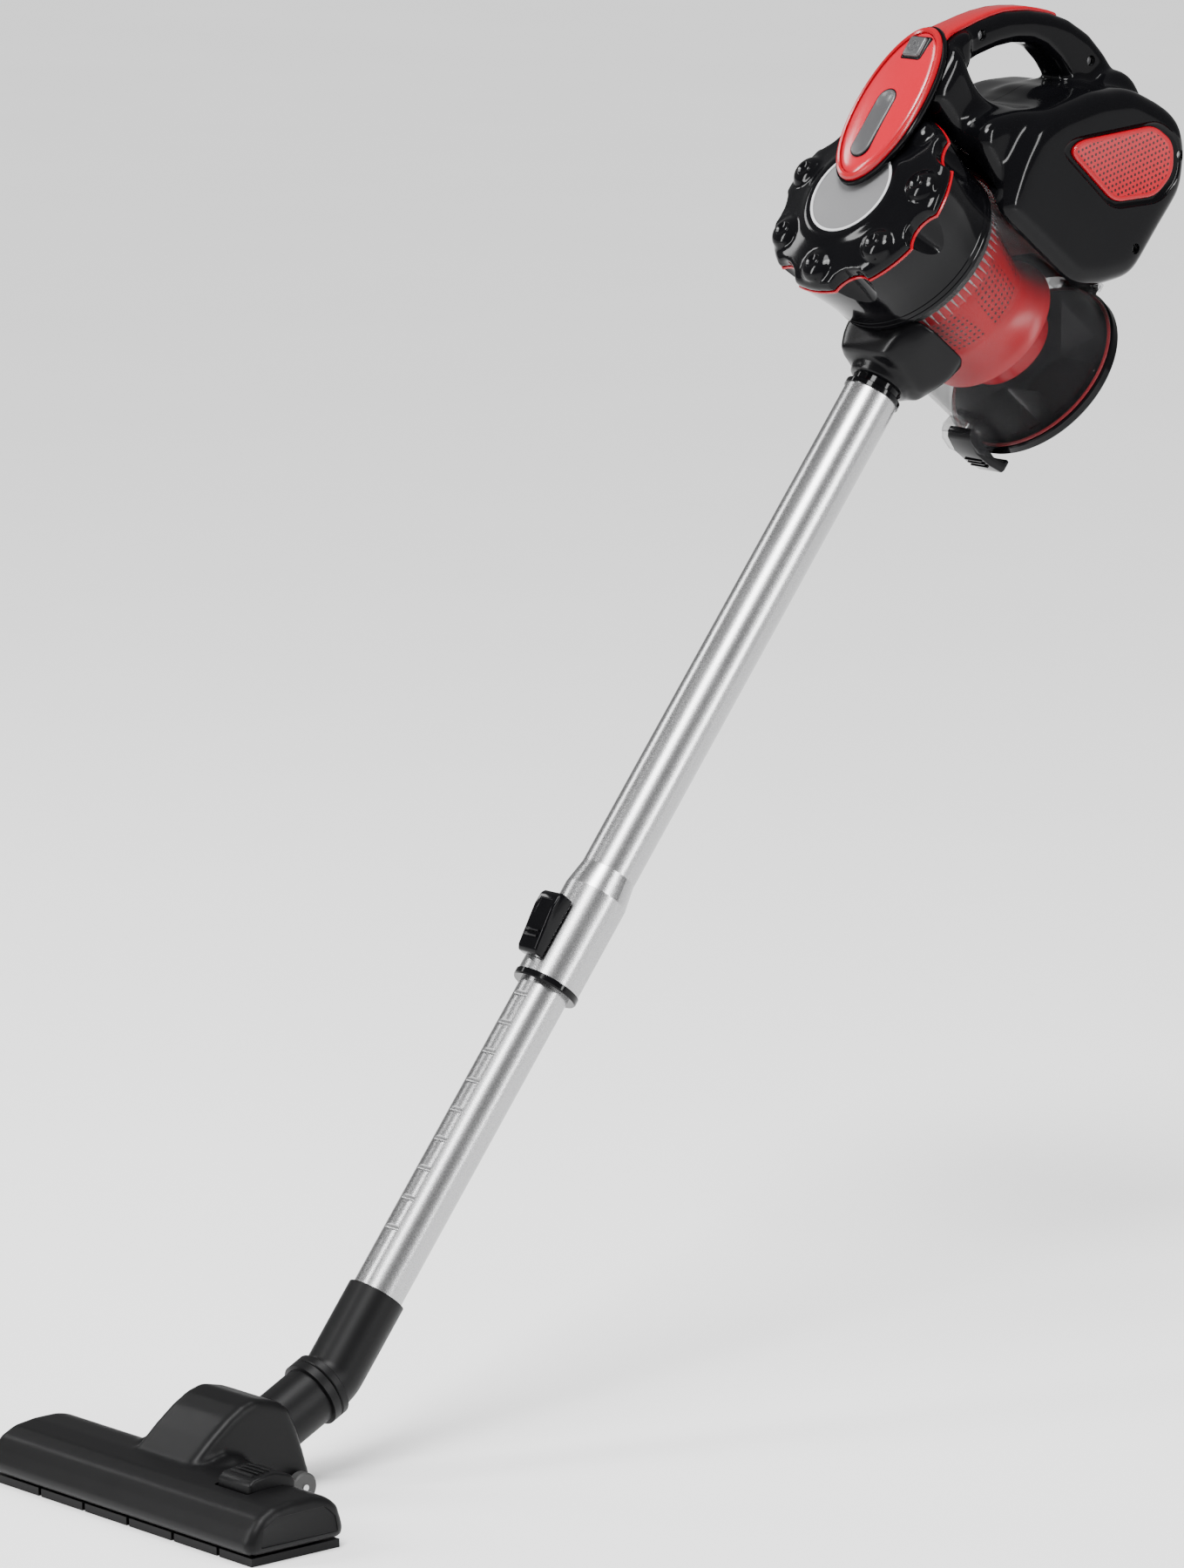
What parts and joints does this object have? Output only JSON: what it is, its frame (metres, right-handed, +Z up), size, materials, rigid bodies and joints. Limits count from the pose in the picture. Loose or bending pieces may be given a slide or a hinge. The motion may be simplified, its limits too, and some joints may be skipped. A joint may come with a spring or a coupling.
{
  "type": "upright vacuum cleaner",
  "caption": "Corded stick vacuum cleaner: looped-handle motor unit with clear cyclone canister, telescopic silver wand, swivelling elbow and floor head.",
  "frame": {"origin": "on the floor, on the land of the head's sole behind the suction slot, at the head's middle", "axes": "+X to the user's left along the head, +Y back towards the user, +Z up"},
  "size_m": [0.25, 0.8173, 0.8399],
  "materials": {
    "gloss_black": "polished injection-moulded ABS",
    "satin_black": "fine-textured moulded plastic",
    "red_gloss": "polished coloured ABS",
    "grey_plastic": "satin grey plastic",
    "clear_cup": "clear polycarbonate, slightly smoked",
    "tube_silver": "silver lacquered steel tube",
    "steel": "plain steel",
    "impeller_alloy": "pressed aluminium",
    "carbon": "carbon",
    "rubber": "black rubber",
    "filter_paper": "pleated filter paper",
    "foam": "open-cell foam",
    "bristle": "nylon bristles in a plastic strip"
  },
  "bodies": {
    "handheld": {"housing_right": "gloss_black", "housing_left": "gloss_black", "housing_screws": "steel", "saddle_liner": "red_gloss", "handle_strip": "red_gloss", "plate_bezel": "red_gloss", "oval_plate": "red_gloss", "power_switch": "satin_black", "button_spring": "steel", "vent_grille_right": "red_gloss", "vent_grille_left": "red_gloss", "exhaust_foam": "foam", "cord_gland": "rubber", "inlet_seal": "rubber", "motor_stator": "steel", "fan_cover": "satin_black", "diffuser": "satin_black", "motor_bearings": "steel", "end_bracket": "steel", "carbon_brushes": "carbon", "motor_mounts": "rubber"},
    "rotor": {"motor_rotor": "steel", "impeller": "impeller_alloy"},
    "power_button": {"power_button": "grey_plastic"},
    "release_button": {"release_button": "grey_plastic"},
    "canister": {"dust_cup": "clear_cup", "door_pin": "steel", "canister_body": "gloss_black", "cap_trim": "red_gloss", "canister_cap": "gloss_black", "cap_disc": "grey_plastic", "cup_seal": "rubber", "filter_carrier": "satin_black", "pleated_filter": "filter_paper", "cyclone_cone": "red_gloss", "cone_foot": "red_gloss", "vane_ring": "clear_cup", "inlet_duct": "satin_black", "latch_spring": "steel"},
    "door": {"cup_door": "gloss_black", "door_seal": "rubber", "dust_fins": "clear_cup"},
    "latch": {"door_latch": "gloss_black"},
    "wand": {"upper_tube": "tube_silver", "guide_bush": "satin_black", "plug_sleeve": "gloss_black", "lock_spring": "steel"},
    "lock_slide": {"lock_slide": "satin_black"},
    "lock_pawl": {"lock_pawl": "satin_black"},
    "lower_wand": {"lower_tube": "tube_silver"},
    "elbow": {"elbow": "satin_black", "swivel_ring": "satin_black"},
    "neck": {"neck_barrel": "satin_black"},
    "head": {"head_shell": "satin_black", "sole_plate": "satin_black", "wheel_axle": "steel"},
    "brushes": {"brush_frame": "bristle"},
    "pedal": {"mode_pedal": "satin_black"},
    "wheel_left": {"wheel_left": "rubber"},
    "wheel_right": {"wheel_right": "rubber"}
  },
  "joints": [
    {"name": "rotor_spin", "type": "hinge", "parent": "handheld", "child": "rotor", "pos_m": [0, 0.71027, 0.73754], "axis": [1, 0, 0], "continuous": true},
    {"name": "power_press", "type": "slide", "parent": "handheld", "child": "power_button", "axis": [0, 0.7833, -0.6217], "range_m": [0, 0.0025], "stiffness_N_per_m": 400, "springref_m": -0.001, "deforming": ["button_spring"]},
    {"name": "release_press", "type": "slide", "parent": "handheld", "child": "release_button", "axis": [0, 0.7833, -0.6217], "range_m": [0, 0.0018], "stiffness_N_per_m": 400, "springref_m": -0.001},
    {"name": "canister_pull", "type": "slide", "parent": "handheld", "child": "canister", "axis": [0, -0.6217, -0.7833], "range_m": [0, 0.12]},
    {"name": "door_swing", "type": "hinge", "parent": "canister", "child": "door", "pos_m": [0, 0.7357, 0.66181], "axis": [1, 0, 0], "range_deg": [0, 92]},
    {"name": "latch_swing", "type": "hinge", "parent": "canister", "child": "latch", "pos_m": [0, 0.63781, 0.57226], "axis": [-1, 0, 0], "range_deg": [0, 16], "stiffness_Nm_per_rad": 0.2, "springref_deg": -2.86, "deforming": ["latch_spring"]},
    {"name": "wand_pull", "type": "slide", "parent": "canister", "child": "wand", "axis": [0, -0.6217, -0.7833], "range_m": [0, 0.032]},
    {"name": "lock_slide_travel", "type": "slide", "parent": "wand", "child": "lock_slide", "axis": [0, -0.6217, -0.7833], "range_m": [0, 0.005], "stiffness_N_per_m": 150, "springref_m": -0.002, "deforming": ["lock_spring"]},
    {"name": "lock_pawl_lift", "type": "slide", "parent": "wand", "child": "lock_pawl", "axis": [0, -0.7833, 0.6217], "range_m": [0, 0.0013]},
    {"name": "telescope", "type": "slide", "parent": "wand", "child": "lower_wand", "axis": [0, 0.6217, 0.7833], "range_m": [-0.0204, 0.1836]},
    {"name": "elbow_pull", "type": "slide", "parent": "lower_wand", "child": "elbow", "axis": [0, -0.6217, -0.7833], "range_m": [0, 0.03]},
    {"name": "neck_swivel", "type": "hinge", "parent": "elbow", "child": "neck", "pos_m": [0, 0.11101, 0.055], "axis": [0, 0.8988, 0.4384], "continuous": true},
    {"name": "head_tilt", "type": "hinge", "parent": "neck", "child": "head", "pos_m": [0, 0.05528, 0.02782], "axis": [1, 0, 0], "range_deg": [-10, 14]},
    {"name": "pedal_rock", "type": "hinge", "parent": "head", "child": "pedal", "pos_m": [0, 0.006, 0.0275], "axis": [-1, 0, 0], "range_deg": [0, 8]},
    {"name": "brush_drop", "type": "slide", "parent": "head", "child": "brushes", "axis": [0, 0, -1], "range_m": [0, 0.0045]},
    {"name": "wheel_left_spin", "type": "hinge", "parent": "head", "child": "wheel_left", "pos_m": [0, 0.072, 0.0092], "axis": [1, 0, 0], "continuous": true},
    {"name": "wheel_right_spin", "type": "hinge", "parent": "head", "child": "wheel_right", "pos_m": [0, 0.072, 0.0092], "axis": [1, 0, 0], "continuous": true}
  ],
  "couplings": [
    {"joint": "lock_pawl_lift", "follows": "lock_slide_travel", "ratio": 0.26},
    {"joint": "brush_drop", "follows": "pedal_rock", "m_per_rad": 0.032229}
  ]
}
